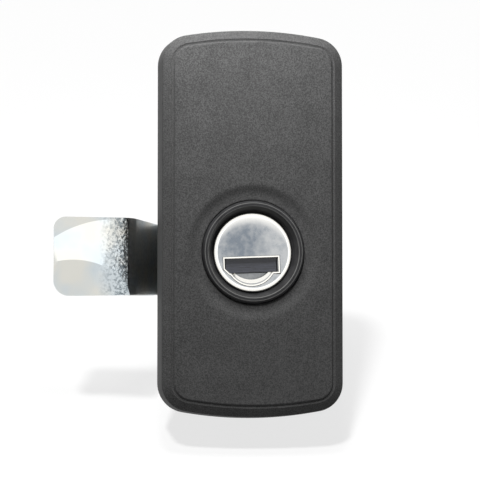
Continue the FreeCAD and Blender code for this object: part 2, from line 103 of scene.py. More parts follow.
TURRET_OUTSIDE = ((14.03, TURRET_END), (17.75, TURRET_END), (TURRET_RADIUS, 27.75),
                  (TURRET_RADIUS, -6.6), (18.15, -7.15), (18.5, -7.5), (19.0, FLOOR_Y),
                  (TURRET_FOOT, FLOOR_Y))


def at(x, y, z):
    return Vector((x, y, z)) * MM


def verts_of(found):
    return [item for item in found if isinstance(item, bmesh.types.BMVert)]


def carry_round(mesh, vert, centre, degrees, steps):
    """Carries one vertex along an arc about the Y axis and returns the vertex at its end."""
    found = bmesh.ops.spin(mesh, geom=[vert], cent=centre, axis=(0, 1, 0),
                           angle=math.radians(degrees), steps=steps)
    return verts_of(found["geom_last"])[0]


def carry_straight(mesh, vert, place, cuts):
    """Draws a straight edge from one vertex to a place, with evenly spaced vertices on it."""
    end = mesh.verts.new(place)
    edge = mesh.edges.new((vert, end))
    if cuts:
        bmesh.ops.subdivide_edges(mesh, edges=[edge], cuts=cuts)
    return end


def turn_profile(mesh, points, steps, centre=Vector((0, 0, 0))):
    """Turns a (radius, y) profile in millimetres about the Y axis into a closed surface."""
    line = [mesh.verts.new(at(points[0][0], points[0][1], 0) + centre)]
    for radius, y in points[1:]:
        line.append(carry_straight(mesh, line[-1], at(radius, y, 0) + centre, 0))
    edges = list(dict.fromkeys(edge for vert in line for edge in vert.link_edges))
    bmesh.ops.spin(mesh, geom=line + edges, cent=centre, axis=(0, 1, 0), angle=math.tau,
                   steps=steps, use_merge=True)


def finish_piece(mesh, name, body, material, nodes, sharp=35.0):
    """Closes the mesh, hangs the piece on its body and lets it stand for its nodes."""
    bmesh.ops.remove_doubles(mesh, verts=mesh.verts, dist=WELD * MM)
    bmesh.ops.dissolve_degenerate(mesh, edges=mesh.edges, dist=SLIVER * MM)
    bmesh.ops.recalc_face_normals(mesh, faces=mesh.faces)
    data = bpy.data.meshes.new(name)
    mesh.to_mesh(data)
    mesh.free()
    data.shade_smooth()
    data.set_sharp_from_angle(angle=math.radians(sharp))
    data.materials.append(material)
    piece = bpy.data.objects.new(name, data)
    bpy.context.scene.collection.objects.link(piece)
    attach(piece, body)
    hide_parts(*nodes)
    return piece


def plate_outline(mesh):
    """One face with the plate's outline, in the plane of the rim, looking to the front."""
    corner_x = PLATE_HALF - CORNER_RADIUS
    reach = END_RADIUS - CORNER_RADIUS
    corner_z = PLATE_TOP - END_RADIUS + math.sqrt(reach ** 2 - corner_x ** 2)
    bow = math.degrees(math.asin(corner_x / reach))
    middle = (PLATE_TOP + PLATE_BOTTOM) / 2
    start = mesh.verts.new(at(0, RIM_Y, PLATE_TOP))
    bow_end = carry_round(mesh, start, at(0, RIM_Y, PLATE_TOP - END_RADIUS), bow, LOOP_STEPS)
    side_top = carry_round(mesh, bow_end, at(corner_x, RIM_Y, corner_z), 90 - bow, LOOP_STEPS)
    carry_straight(mesh, side_top, at(PLATE_HALF, RIM_Y, middle), SIDE_CUTS)
    for axis, shift in (("Z", middle), ("X", 0)):
        bmesh.ops.mirror(mesh, geom=mesh.verts[:] + mesh.edges[:], axis=axis,
                         matrix=Matrix.Translation(at(0, 0, -shift)))
        bmesh.ops.remove_doubles(mesh, verts=mesh.verts, dist=SLIVER * MM)
    face = bmesh.ops.contextual_create(mesh, geom=mesh.edges[:])["faces"][0]
    face.normal_update()
    if face.normal.y > 0:
        face.normal_flip()
    return face


def step_in(mesh, face, thickness, depth):
    """Insets a face by an even width and moves the inner face out along its normal."""
    bmesh.ops.inset_region(mesh, faces=[face], thickness=thickness * MM, depth=depth * MM,
                           use_even_offset=True, use_boundary=True)


def loop_at(mesh, y):
    """The edges that lie level at a depth."""
    return [edge for edge in mesh.edges
            if all(abs(vert.co.y - y * MM) < SAME_LEVEL * MM for vert in edge.verts)]


def make_plate(mesh):
    """The plate's shell, open where the dish and the turret join it. Returns both openings."""
    front = plate_outline(mesh)
    rear = bmesh.ops.duplicate(mesh, geom=[front])["geom"]
    rear = next(item for item in rear if isinstance(item, bmesh.types.BMFace))
    rear.normal_flip()
    step_in(mesh, front, SIDE_DRAFT, SIDE_HEIGHT)
    step_in(mesh, front, BEVEL_WIDTH, BEVEL_RISE)
    step_in(mesh, front, CREASE_WIDTH, -CREASE)
    step_in(mesh, front, PANEL_GAP, 0)
    foot = RIM_Y - SIDE_HEIGHT - BEVEL_RISE + CREASE
    step_in(mesh, front, PANEL_EDGE, foot - PANEL_Y)
    step_in(mesh, front, PANEL_LAND, 0)
    for y, radius, segments in ((RIM_Y - SIDE_HEIGHT, EDGE_ROUND, 4), (PANEL_Y, PANEL_ROUND, 2)):
        edges = [edge for edge in loop_at(mesh, y) if edge.calc_face_angle(0) > LEAST_BEND]
        bmesh.ops.bevel(mesh, geom=edges, offset=radius * MM, offset_type="OFFSET",
                        segments=segments, profile=0.5, affect="EDGES", material=-1)
    panel = max((face for face in mesh.faces if face.normal.y < -0.99),
                key=lambda face: face.calc_area())
    panel_edges = list(panel.edges)
    step_in(mesh, rear, WALL, 0)
    step_in(mesh, rear, HOLLOW_DRAFT, FLOOR_Y - RIM_Y)
    floor_edges = list(rear.edges)
    bmesh.ops.delete(mesh, geom=[panel, rear], context="FACES_ONLY")
    return panel_edges, floor_edges


def ring_edges(mesh, radius, y):
    """The edges of a circle about the Y axis."""
    near = SAME_RING * MM
    return [edge for edge in mesh.edges if all(
        abs(vert.co.y - y * MM) < near
        and abs(math.hypot(vert.co.x, vert.co.z) - radius * MM) < near
        for vert in edge.verts)]


def from_top(edges):
    """The vertices of a loop about the Y axis, clockwise from the one straight above the axis."""
    verts = {vert for edge in edges for vert in edge.verts}
    return sorted(verts, key=lambda vert: (math.atan2(vert.co.x, vert.co.z) + 0.001) % math.tau)


def join_loops(mesh, outer, inner):
    outer, inner = from_top(outer), from_top(inner)
    for place in range(len(outer)):
        mesh.faces.new((outer[place - 1], outer[place], inner[place], inner[place - 1]))


def make_housing():
    mesh = bmesh.new()
    panel_edges, floor_edges = make_plate(mesh)
    turn_profile(mesh, ((DISH_RIM, PANEL_Y),) + DISH_SLOPE + SLEEVE_SEAT + TURRET_OUTSIDE,
                 ROUND_STEPS)
    join_loops(mesh, panel_edges, ring_edges(mesh, DISH_RIM, PANEL_Y))
    join_loops(mesh, floor_edges, ring_edges(mesh, TURRET_FOOT, FLOOR_Y))
    boss = ((0, FLOOR_Y - SUNK), (BOSS_RADIUS, FLOOR_Y - SUNK), (BOSS_RADIUS, BOSS_END - BOSS_EDGE),
            (BOSS_RADIUS - BOSS_EDGE, BOSS_END), (BOSS_HOLE + BOSS_MOUTH, BOSS_END),
            (BOSS_HOLE, BOSS_END - BOSS_MOUTH), (BOSS_HOLE, BOSS_HOLE_END), (0, BOSS_HOLE_END))
    for z in BOSS_HEIGHTS:
        for side in (-1, 1):
            turn_profile(mesh, boss, BOSS_STEPS, at(side * BOSS_X, 0, z))
    add_ribs(mesh)
    return finish_piece(mesh, "housing_moulding", "housing", black_nylon(),
                        ["housing"], sharp=40)


def add_ribs(mesh):
    inside = PLATE_HALF - WALL + SUNK
    boss_near = BOSS_X - BOSS_RADIUS + RIB_OVERLAP
    boss_far = BOSS_X + BOSS_RADIUS - RIB_OVERLAP
    turret = TURRET_RADIUS - RIB_OVERLAP
    runs = [(-RIB_HALF, RIB_HALF, turret, PLATE_TOP - WALL + SUNK),
            (-RIB_HALF, RIB_HALF, PLATE_BOTTOM + WALL - SUNK, -turret),
            (-inside, inside, CROSS_RIB - RIB_HALF, CROSS_RIB + RIB_HALF)]
    for x0, x1 in ((-inside, -turret), (turret, inside)):
        runs.append((x0, x1, -RIB_HALF, RIB_HALF))
    for z in BOSS_HEIGHTS:
        for x0, x1 in ((-inside, -boss_far), (-boss_near, boss_near), (boss_far, inside)):
            runs.append((x0, x1, z - RIB_HALF, z + RIB_HALF))
    middle_y = (RIB_END + FLOOR_Y - SUNK) / 2
    for x0, x1, z0, z1 in runs:
        rib = bmesh.ops.create_cube(mesh, size=1.0)["verts"]
        bmesh.ops.scale(mesh, verts=rib, vec=at(x1 - x0, RIB_END - FLOOR_Y + SUNK, z1 - z0))
        bmesh.ops.translate(mesh, verts=rib, vec=at((x0 + x1) / 2, middle_y, (z0 + z1) / 2))
        free = dict.fromkeys(edge for vert in rib for edge in vert.link_edges
                             if all(end.co.y > middle_y * MM for end in edge.verts))
        bmesh.ops.bevel(mesh, geom=list(free), offset=RIB_ROUND * MM, offset_type="OFFSET",
                        segments=2, profile=0.5, affect="EDGES", material=-1)


def linear(hex_colour):
    """An sRGB hex colour as the linear colour that the shaders take."""
    channels = [int(hex_colour[place:place + 2], 16) / 255 for place in (1, 3, 5)]
    return [c / 12.92 if c <= 0.04045 else ((c + 0.055) / 1.055) ** 2.4 for c in channels] + [1.0]


def add_node(tree, kind, inputs=None, **settings):
    """Adds one node. Each input is a value, or an output socket to link from."""
    node = tree.nodes.new("ShaderNode" + kind)
    for name, value in settings.items():
        setattr(node, name, value)
    for name, value in (inputs or {}).items():
        if isinstance(value, bpy.types.NodeSocket):
            tree.links.new(value, node.inputs[name])
        else:
            node.inputs[name].default_value = value
    return node


def start_finish(name, **sockets):
    """A new material: its node tree, its surface shader and the place on the piece in metres."""
    material = bpy.data.materials.new(name)
    material.use_nodes = True
    tree = material.node_tree
    shader = tree.nodes["Principled BSDF"]
    for socket, value in sockets.items():
        shader.inputs[socket.replace("_", " ")].default_value = value
    place = add_node(tree, "TexCoord").outputs["Object"]
    return material, tree, shader, place


def grain(tree, place, size_mm, detail=2.0, stretch=(1, 1, 1)):
    """Fine noise whose lumps are about size_mm across."""
    turned = add_node(tree, "Mapping", {"Vector": place, "Scale": stretch})
    noise = add_node(tree, "TexNoise", {"Vector": turned.outputs["Vector"],
                                        "Scale": 1 / (size_mm * MM), "Detail": detail,
                                        "Roughness": 0.55})
    return noise.outputs["Fac"]


def shades(tree, fac, low, high, dark, pale):
    """Runs from the dark to the pale colour as the noise goes from low to high."""
    ramp = add_node(tree, "ValToRGB", {"Fac": fac})
    start, end = ramp.color_ramp.elements
    start.position, start.color = low, linear(dark)
    end.position, end.color = high, linear(pale)
    return ramp.outputs["Color"]


def steps_of(tree, fac, low, high, least, most):
    """Runs from the least to the most as a value goes from low to high."""
    return add_node(tree, "MapRange", {"Value": fac, "From Min": low, "From Max": high,
                                       "To Min": least, "To Max": most}).outputs["Result"]


def relief(tree, shader, height, depth_mm, strength=1.0):
    bump = add_node(tree, "Bump", {"Height": height, "Distance": depth_mm * MM,
                                   "Strength": strength})
    tree.links.new(bump.outputs["Normal"], shader.inputs["Normal"])


def black_nylon():
    # Glass-filled nylon 6, spark-eroded: grey-black, matt, with a grit near 0.25 mm that the
    # picture just resolves, and slow clouding where the glass comes near the surface.
    material, tree, shader, place = start_finish("black_glass_filled_nylon", IOR=1.53,
                                                 Specular_IOR_Level=0.06)
    grit = grain(tree, place, 0.28, 3.0)
    cloud = grain(tree, place, 9.0, 2.0)
    colour = shades(tree, grit, 0.35, 0.68, "#363636", "#535353")
    clouded = shades(tree, cloud, 0.3, 0.7, "#eeeeee", "#ffffff")
    mix = add_node(tree, "Mix", {"Factor": 1.0, 6: colour, 7: clouded}, data_type="RGBA",
                   blend_type="MULTIPLY")
    tree.links.new(mix.outputs[2], shader.inputs["Base Color"])
    tree.links.new(steps_of(tree, grit, 0.3, 0.7, 0.46, 0.62), shader.inputs["Roughness"])
    relief(tree, shader, grit, 0.03, 0.5)
    return material


make_housing()


# Gasket: a flat frame of black EPDM rubber, cut from sheet and pressed into the plate's rim.
# Its dull, faintly dusty face is all that shows of it, as a line round the plate.
def gasket_rubber():
    # EPDM: matt black with a fine orange-skin from the press and a little pale bloom.
    material, tree, shader, place = start_finish("black_epdm_rubber", IOR=1.5)
    skin = grain(tree, place, 0.5, 3.0)
    bloom = shades(tree, grain(tree, place, 4.0), 0.35, 0.75, "#141414", "#222221")
    tree.links.new(bloom, shader.inputs["Base Color"])
    tree.links.new(steps_of(tree, skin, 0.3, 0.7, 0.7, 0.88), shader.inputs["Roughness"])
    relief(tree, shader, skin, 0.02, 0.5)
    return material


def dress(material, *nodes):
    """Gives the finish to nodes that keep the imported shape."""
    for node in nodes:
        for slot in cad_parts[node].material_slots:
            slot.material = material


dress(gasket_rubber(), "face_gasket", "sleeve_oring")


# Cylinder sleeve: the black ring round the plug, die-cast in zinc and coated satin black.
# Its lip stands a little proud of the dish and its mouth is coned down to the plug.
# Radii in mm of the thin paler bands painted on the lip and on the mouth as highlights.
LIP_HIGHLIGHT = (12.5, 12.62)
MOUTH_HIGHLIGHT = (11.72, 11.86)
LIP_ROUND = 0.09
FLANGE_BACK = -7.5
SLEEVE_PROFILE = (
    (11.3, -6.9), (13.22, -6.9), (13.22, -9.6), (12.9, -10.3), (12.6, -10.5), (11.8, -10.5),
    (10.75, -8.3), (10.35, -8.0), (10.35, -2.3), (8.55, -2.3), (8.55, 11.0), (11.3, 11.0),
    (11.3, -3.4), (10.8, -3.4), (10.8, -4.3), (11.3, -4.3), (11.3, -6.9))


def from_axis(tree, place):
    """Distance from the key cylinder's axis, in millimetres."""
    flat = add_node(tree, "VectorMath", {0: place, 1: (1 / MM, 0, 1 / MM)}, operation="MULTIPLY")
    away = add_node(tree, "VectorMath", {0: flat.outputs["Vector"]}, operation="LENGTH")
    return away.outputs["Value"]


def band_of(tree, fac, low, high):
    """One where a value lies between low and high, fading to nothing just outside them."""
    soft = (high - low) / 2
    rise = steps_of(tree, fac, low - soft, low, 0.0, 1.0)
    fall = steps_of(tree, fac, high, high + soft, 1.0, 0.0)
    return add_node(tree, "Math", {0: rise, 1: fall}, operation="MULTIPLY").outputs[0]


def black_coat():
    # Satin black powder coat on zinc: a soft sheen and slight orange peel. Thin paler bands on the
    # lip's outer edge and the mouth's edge are painted highlights.
    material, tree, shader, place = start_finish("satin_black_coat", IOR=1.5,
                                                 Specular_IOR_Level=0.15)
    peel = grain(tree, place, 0.35, 2.0)
    coat = shades(tree, grain(tree, place, 2.5), 0.3, 0.7, "#232324", "#313132")
    # Painted highlights: paler bands at the lip's outer edge and at the mouth's edge.
    outer = band_of(tree, from_axis(tree, place), *LIP_HIGHLIGHT)
    inner = band_of(tree, from_axis(tree, place), *MOUTH_HIGHLIGHT)
    tone_shift = add_node(tree, "Math", {0: outer, 1: inner}, operation="MAXIMUM").outputs[0]
    colour = add_node(tree, "Mix", {"Factor": tone_shift, 6: coat, 7: linear("#5c5c5b")},
                      data_type="RGBA")
    tree.links.new(colour.outputs[2], shader.inputs["Base Color"])
    tree.links.new(steps_of(tree, peel, 0.3, 0.7, 0.34, 0.46), shader.inputs["Roughness"])
    relief(tree, shader, peel, 0.008, 0.5)
    return material


def make_sleeve():
    mesh = bmesh.new()
    turn_profile(mesh, SLEEVE_PROFILE, ROUND_STEPS)
    lip = [edge for edge in mesh.edges
           if edge.calc_face_angle(0) > LEAST_BEND and edge.verts[0].co.y < FLANGE_BACK * MM]
    bmesh.ops.bevel(mesh, geom=lip, offset=LIP_ROUND * MM, offset_type="OFFSET", segments=3,
                    profile=0.5, affect="EDGES", material=-1)
    finish_piece(mesh, "sleeve_casting", "housing", black_coat(),
                 ["cylinder_sleeve"], sharp=40)


make_sleeve()


# Plug cap: a cup drawn from stainless sheet and rolled over the plug's head.
# Its face is satin with use scratches, its rolled edge and the bead round the keyhole are
# polished and painted near white as a highlight, and a half-moon scoop below the slot leads the key
# in.
PLUG_TURNED = -2.4
CAP_RADIUS = 10.2
CAP_FRONT = -8.75
CAP_FACE = 9.15
CAP_FLAT = 9.0
CAP_ROLL = ((9.35, -8.74), (9.6, -8.71), (9.85, -8.65), (10.03, -8.57), (10.14, -8.46),
            (10.19, -8.3), (10.2, -8.1))
CAP_INNER = 9.55
CAP_BACK = -7.95
CAP_REAR_HOLE = 8.9
CAP_STEPS = 112
CAP_END = -4.35
SLOT = (-7.4, 6.45, -1.45, -5.2)
SLOT_CHAMFER = 1.3
SCOOP_X = -0.5
SCOOP_OUTER = (5.35, 3.1)
SCOOP_INNER = (4.36, 1.78)
SCOOP_INNER_Y = -8.15
NEAR_ARC = 0.03
BEAD = ((0.62, -8.75), (0.52, -8.75), (0.44, -8.86), (0.34, -8.94), (0.22, -8.97), (0.1, -8.93),
        (0.0, -8.84))
ARC_STEPS = 28
# The face is drawn darker round this point, within the first distance, and paler beyond the second.
FACE_DARK_SPOT = (-3.0, CAP_FRONT, 1.5)
FACE_DARK_NEAR = 3.0
FACE_PALE_FAR = 8.5
FLAT_DEPTH = 0.07
# A pale band painted across the top of the face as a reflection of the top light, from the first
# distance to the second from this point.
TOP_HIGHLIGHT_FROM = (0.0, CAP_FRONT, -2.4)
TOP_HIGHLIGHT_START = 9.6
TOP_HIGHLIGHT_FULL = 11.7


def scoop_size(half, depth):
    """Radius of a half-moon's arc, and how far its centre lies above the half-moon's chord."""
    radius = (half ** 2 + depth ** 2) / (2 * depth)
    return radius, radius - depth


def scoop_arc(mesh, start, radius, rise):
    """Carries a vertex from the right end of a half-moon to its left end."""
    centre = at(SCOOP_X, start.co.y / MM, SLOT[3] + rise)
    half_turn = math.degrees(math.atan2(start.co.x - centre.x, centre.z - start.co.z))
    return carry_round(mesh, start, centre, 2 * half_turn, ARC_STEPS)


def keyhole_face(mesh, margin, y):
    """One face in the keyhole's shape, grown by an even margin."""
    left, right, top, bottom = SLOT
    radius, rise = scoop_size(*SCOOP_OUTER)
    half = math.sqrt((radius + margin) ** 2 - (rise + margin) ** 2)
    cut = margin * math.tan(math.radians(22.5))
    left, right, top, bottom = left - margin, right + margin, top + margin, bottom - margin
    first = mesh.verts.new(at(SCOOP_X - half, y, bottom))
    last = first
    for x, z in ((left + SLOT_CHAMFER + cut, bottom), (left, bottom + SLOT_CHAMFER + cut),
                 (left, top), (right, top), (right, bottom), (SCOOP_X + half, bottom)):
        last = carry_straight(mesh, last, at(x, y, z), 0)
    last = scoop_arc(mesh, last, radius + margin, rise)
    bmesh.ops.pointmerge(mesh, verts=[first, last], merge_co=first.co)
    face = bmesh.ops.contextual_create(mesh, geom=mesh.edges[:])["faces"][0]
    face.normal_update()
    if face.normal.y > 0:
        face.normal_flip()
    return face


def stainless():
    # Stainless 304: satin from a fine brush, with a slow mottle, darker round a spot just up and
    # left of the middle and paler away from it, and a few scratches across it. The rolled edge, the
    # bead and the scoop are polished and painted near white as a highlight, and a pale band painted
    # across the top of the face is a reflection of the top light.
    material, tree, shader, place = start_finish("satin_stainless_steel", Metallic=1.0)
    brush = grain(tree, place, 0.12, 2.0, (0.04, 1, 1))
    mottle = grain(tree, place, 2.2, 3.0)
    # Darker round a spot just up and left of the middle, paler away from it.
    spot_distance = add_node(tree, "VectorMath", {0: place, 1: at(*FACE_DARK_SPOT)}, operation="DISTANCE")
    tone_shift = steps_of(tree, spot_distance.outputs["Value"], FACE_DARK_NEAR * MM, FACE_PALE_FAR * MM, -0.18, 0.16)
    patch = add_node(tree, "Math", {0: mottle, 1: tone_shift}).outputs[0]
    face = shades(tree, patch, 0.25, 0.72, "#727981", "#aeb0b1")
    # Polish, and a painted highlight: the rolled edge, the bead and the scoop turn near white and
    # smoother.
    rim = steps_of(tree, from_axis(tree, place), CAP_FACE - 0.1, CAP_FACE + 0.15, 0.0, 1.0)
    depth = add_node(tree, "SeparateXYZ", {"Vector": place}).outputs["Y"]
    flat = add_node(tree, "Math", {0: depth, 1: CAP_FRONT * MM, 2: FLAT_DEPTH * MM},
                    operation="COMPARE").outputs[0]
    formed = add_node(tree, "Math", {0: 1.0, 1: flat}, operation="SUBTRACT").outputs[0]
    polish_and_highlight = add_node(tree, "Math", {0: rim, 1: formed}, operation="MAXIMUM").outputs[0]
    # Painted reflection of the top light: a pale band across the top of the face.
    away = add_node(tree, "VectorMath", {0: place, 1: at(*TOP_HIGHLIGHT_FROM)}, operation="DISTANCE")
    painted_top_highlight = steps_of(tree, away.outputs["Value"], TOP_HIGHLIGHT_START * MM, TOP_HIGHLIGHT_FULL * MM,
                        0.0, 0.8)
    pale = add_node(tree, "Math", {0: polish_and_highlight, 1: painted_top_highlight}, operation="MAXIMUM").outputs[0]
    colour = add_node(tree, "Mix", {"Factor": pale, 6: face, 7: linear("#f6f4ee")},
                      data_type="RGBA")
    tree.links.new(colour.outputs[2], shader.inputs["Base Color"])
    satin = steps_of(tree, mottle, 0.3, 0.7, 0.24, 0.36)
    rough = add_node(tree, "Mix", {0: polish_and_highlight, 2: satin, 3: 0.14})
    tree.links.new(rough.outputs[0], shader.inputs["Roughness"])
    relief(tree, shader, brush, 0.003, 0.35)
    return material


def open_loops(mesh, y):
    """The open edges at a depth."""
    return [edge for edge in loop_at(mesh, y) if edge.is_boundary]


def make_cap():
    mesh = bmesh.new()
    margin, y = BEAD[0]
    hole = keyhole_face(mesh, margin, y)
    for inner, y in BEAD[1:]:
        step_in(mesh, hole, margin - inner, 0)
        margin = inner
        for vert in hole.verts:
            vert.co.y = y * MM
    radius, rise = scoop_size(*SCOOP_OUTER)
    centre = at(SCOOP_X, y, SLOT[3] + rise)
    on_arc = {vert for vert in hole.verts
              if abs((vert.co - centre).length - radius * MM) < NEAR_ARC * MM}
    arc = [edge for edge in hole.edges if set(edge.verts) <= on_arc]
    bmesh.ops.delete(mesh, geom=[hole], context="FACES_ONLY")
    rim = open_loops(mesh, CAP_FRONT)
    before = set(mesh.edges)
    scoop_start = mesh.verts.new(at(SCOOP_X + SCOOP_INNER[0], SCOOP_INNER_Y, SLOT[3]))
    scoop_arc(mesh, scoop_start, *scoop_size(*SCOOP_INNER))
    inner_arc = [edge for edge in mesh.edges if edge not in before]
    bmesh.ops.bridge_loops(mesh, edges=arc + inner_arc)
    inside = [edge for edge in mesh.edges if edge.is_boundary and edge not in rim]
    walls = bmesh.ops.extrude_edge_only(mesh, edges=inside)["geom"]
    for vert in verts_of(walls):
        vert.co.y = CAP_BACK * MM
    turn_profile(mesh, ((CAP_FLAT, CAP_FRONT), (CAP_FACE, CAP_FRONT)) + CAP_ROLL + (
        (CAP_RADIUS, CAP_END), (CAP_INNER, CAP_END), (CAP_INNER, CAP_BACK),
        (CAP_REAR_HOLE, CAP_BACK)), CAP_STEPS)
    for y in (CAP_FRONT, CAP_BACK):
        bmesh.ops.triangle_fill(mesh, use_beauty=True, edges=open_loops(mesh, y))
    bmesh.ops.rotate(mesh, verts=mesh.verts, cent=(0, 0, 0),
                     matrix=Matrix.Rotation(math.radians(PLUG_TURNED), 3, "Y"))
    finish_piece(mesh, "cap_pressing", "plug", stainless(), ["plug_cap"],
                 sharp=50)


make_cap()


# Plug core, drive and their small parts: zinc die-casting, turned steel, spring wire and
# stamped brass wafers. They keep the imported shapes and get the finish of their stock.
def cast_zinc():
    # Zamak as cast: dull grey with a fine flow mottle.
    material, tree, shader, place = start_finish("die_cast_zinc", Metallic=1.0)
    flow = grain(tree, place, 1.2, 4.0)
    tree.links.new(shades(tree, flow, 0.3, 0.7, "#7f8183", "#a3a5a6"), shader.inputs["Base Color"])
    tree.links.new(steps_of(tree, flow, 0.3, 0.7, 0.36, 0.52), shader.inputs["Roughness"])
    relief(tree, shader, grain(tree, place, 0.3), 0.006, 0.5)
    return material


def turned_steel():
    # Free-cutting steel, turned: fine tool rings about the cylinder's axis.
    material, tree, shader, place = start_finish("turned_steel", Metallic=1.0)
    rings = grain(tree, place, 0.15, 1.0, (0.05, 1, 0.05))
    tree.links.new(shades(tree, rings, 0.3, 0.7, "#8d8e90", "#b0b1b2"), shader.inputs["Base Color"])
    tree.links.new(steps_of(tree, rings, 0.3, 0.7, 0.24, 0.36), shader.inputs["Roughness"])
    relief(tree, shader, rings, 0.004, 0.5)
    return material


def spring_steel():
    # Drawn and oil-tempered wire: dark, with draw lines.
    material, tree, shader, place = start_finish("oiled_spring_steel", Metallic=1.0)
    lines = grain(tree, place, 0.2, 2.0)
    tree.links.new(shades(tree, lines, 0.3, 0.7, "#5a5a5c", "#77787b"), shader.inputs["Base Color"])
    tree.links.new(steps_of(tree, lines, 0.3, 0.7, 0.3, 0.42), shader.inputs["Roughness"])
    return material


def stamped_brass():
    # Brass CuZn37, stamped and tumbled: yellow with a faint brown tarnish.
    material, tree, shader, place = start_finish("stamped_brass", Metallic=1.0)
    tarnish = grain(tree, place, 1.5, 3.0)
    colour = shades(tree, tarnish, 0.3, 0.75, "#c9a24e", "#a8823c")
    tree.links.new(colour, shader.inputs["Base Color"])
    tree.links.new(steps_of(tree, tarnish, 0.3, 0.7, 0.28, 0.42), shader.inputs["Roughness"])
    return material


def black_acetal():
    # Acetal, moulded black: smooth, waxy, with hair scratches from the key.
    material, tree, shader, place = start_finish("black_acetal", IOR=1.48)
    hairs = grain(tree, place, 0.15, 3.0, (0.06, 1, 1))
    colour = shades(tree, hairs, 0.4, 0.75, "#2d2e33", "#494b53")
    tree.links.new(colour, shader.inputs["Base Color"])
    tree.links.new(steps_of(tree, hairs, 0.3, 0.7, 0.26, 0.42), shader.inputs["Roughness"])
    return material


def white_acetal():
    # Acetal, natural white: slightly see-through at its edges, so a little warm.
    material, tree, shader, place = start_finish("natural_acetal", IOR=1.48)
    cloud = grain(tree, place, 3.0)
    tree.links.new(shades(tree, cloud, 0.3, 0.7, "#dcdbd4", "#e9e8e2"), shader.inputs["Base Color"])
    tree.links.new(steps_of(tree, cloud, 0.3, 0.7, 0.34, 0.45), shader.inputs["Roughness"])
    return material


def zinc_plate():
    # Bright zinc plate with clear passivation: silver with a faint blue and yellow cast.
    material, tree, shader, place = start_finish("bright_zinc_plate", Metallic=1.0)
    tint = grain(tree, place, 1.8, 3.0)
    tree.links.new(shades(tree, tint, 0.3, 0.7, "#bcc1c9", "#cfcbbf"), shader.inputs["Base Color"])
    tree.links.new(steps_of(tree, tint, 0.3, 0.7, 0.22, 0.34), shader.inputs["Roughness"])
    return material


dress(cast_zinc(), "plug_core")
dress(turned_steel(), "helical_sleeve", "shutter_pin", "drive_fork", "fork_pin", "spindle",
      "cross_pin")
dress(spring_steel(), "sleeve_snap_ring", "plug_snap_ring", "shutter_spring")
dress(stamped_brass(), "wafers")
dress(black_acetal(), "shutter")
dress(white_acetal(), "spindle_bush")
dress(zinc_plate(), "rear_cap_screws", "pawl_washer", "pawl_bolt")
dress(bpy.data.materials["black_glass_filled_nylon"], "rear_cap")


def make_draw_spring():
    mesh = bmesh.new()
    mesh.from_mesh(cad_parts["draw_spring"].data)
    data = bpy.data.meshes.new("draw_spring_coil")
    mesh.to_mesh(data)
    mesh.free()
    data.materials.append(bpy.data.materials["oiled_spring_steel"])
    coil = bpy.data.objects.new("draw_spring_coil", data)
    bpy.context.scene.collection.objects.link(coil)
    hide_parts("draw_spring")
    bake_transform(coil)


make_draw_spring()


# Pawl: the tongue that grips the door frame, blanked and cranked from 3 mm steel strip and
# chromed bright. The press leaves a fine orange peel near the bend and soft, rolled edges.
STRIP_WELD = 0.003
EDGE_ROLL = 0.25
PEEL_START = -37.5
PEEL_FULL = -30.5
PEEL_END = -29.0
PEEL_DEPTH = 0.38
ROLL_ANGLE = 35.0


def bright_chrome():
    # Decorative chrome over nickel: mirror bright, neutral, with the strip's slight waviness.
    # Close to the bend it is pitted, drawn coarse enough to show, and past the bend it is dull.
    material, tree, shader, place = start_finish("bright_chrome", Metallic=1.0, Roughness=0.1)
    peel = grain(tree, place, 0.7, 3.0)
    waves = grain(tree, place, 9.0)
    along = add_node(tree, "SeparateXYZ", {"Vector": place}).outputs["X"]
    before_bend = steps_of(tree, along, PEEL_START * MM, PEEL_FULL * MM, 0.0, 1.0)
    past_bend = steps_of(tree, along, PEEL_FULL * MM, PEEL_END * MM, 1.0, 0.15)
    near_bend = add_node(tree, "Math", {0: before_bend, 1: past_bend},
                         operation="MULTIPLY").outputs[0]
    spots = steps_of(tree, grain(tree, place, 0.8, 3.0), 0.46, 0.6, 0.0, 1.0)
    pits = add_node(tree, "Math", {0: near_bend, 1: spots}, operation="MULTIPLY").outputs[0]
    chrome = shades(tree, waves, 0.35, 0.65, "#cad2d6", "#d9d8d1")
    pitted = add_node(tree, "Mix", {"Factor": pits, 6: chrome, 7: linear("#6a757b")},
                      data_type="RGBA")
    tree.links.new(pitted.outputs[2], shader.inputs["Base Color"])
    polish = steps_of(tree, waves, 0.3, 0.7, 0.08, 0.16)
    gloss = add_node(tree, "Mix", {0: past_bend, 2: 0.4, 3: polish}).outputs[0]
    tree.links.new(gloss, shader.inputs["Roughness"])
    bump = add_node(tree, "Bump", {"Height": peel, "Distance": PEEL_DEPTH * MM,
                                   "Strength": near_bend})
    tree.links.new(bump.outputs["Normal"], shader.inputs["Normal"])
    return material


def make_pawl():
    mesh = bmesh.new()
    mesh.from_mesh(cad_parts["pawl"].data)
    bmesh.ops.remove_doubles(mesh, verts=mesh.verts, dist=STRIP_WELD * MM)
    piece = finish_piece(mesh, "pawl_strip", "pawl", bright_chrome(), ["pawl"],
                         sharp=8)
    edges = piece.modifiers.new("rolled_edges", "BEVEL")
    edges.width, edges.segments, edges.limit_method = EDGE_ROLL * MM, 3, "ANGLE"
    edges.angle_limit = math.radians(ROLL_ANGLE)
    edges.harden_normals = True


make_pawl()


